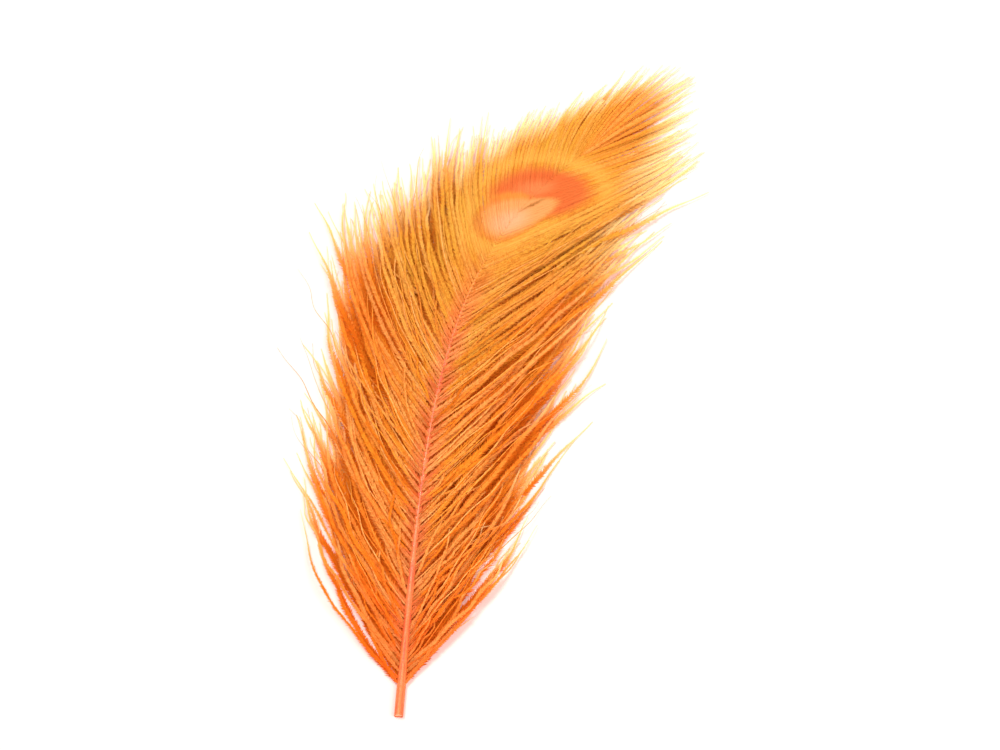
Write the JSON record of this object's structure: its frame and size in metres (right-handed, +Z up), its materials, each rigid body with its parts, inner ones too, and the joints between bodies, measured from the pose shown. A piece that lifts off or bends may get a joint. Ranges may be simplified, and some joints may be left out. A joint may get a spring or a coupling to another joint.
{
  "type": "peacock feather",
  "caption": "Bleached, orange-dyed peacock eye feather lying face up: a bent, tapering shaft with loose barbs on both sides and a coral eye near the tip.",
  "frame": {"origin": "on the surface that the feather lies on, under the centre of its bounding box", "axes": "+Y from the cut end towards the tip, +X towards the side that the tip bends to, +Z up out of the feather's face"},
  "size_m": [0.1573, 0.2872, 0.0104],
  "materials": {
    "barbs": "matte, dyed orange, coral and peach in the eye",
    "shaft": "satin horn, dyed salmon orange, pale at the cut"
  },
  "bodies": {
    "root": {"feather": "barbs"}
  },
  "joints": []
}
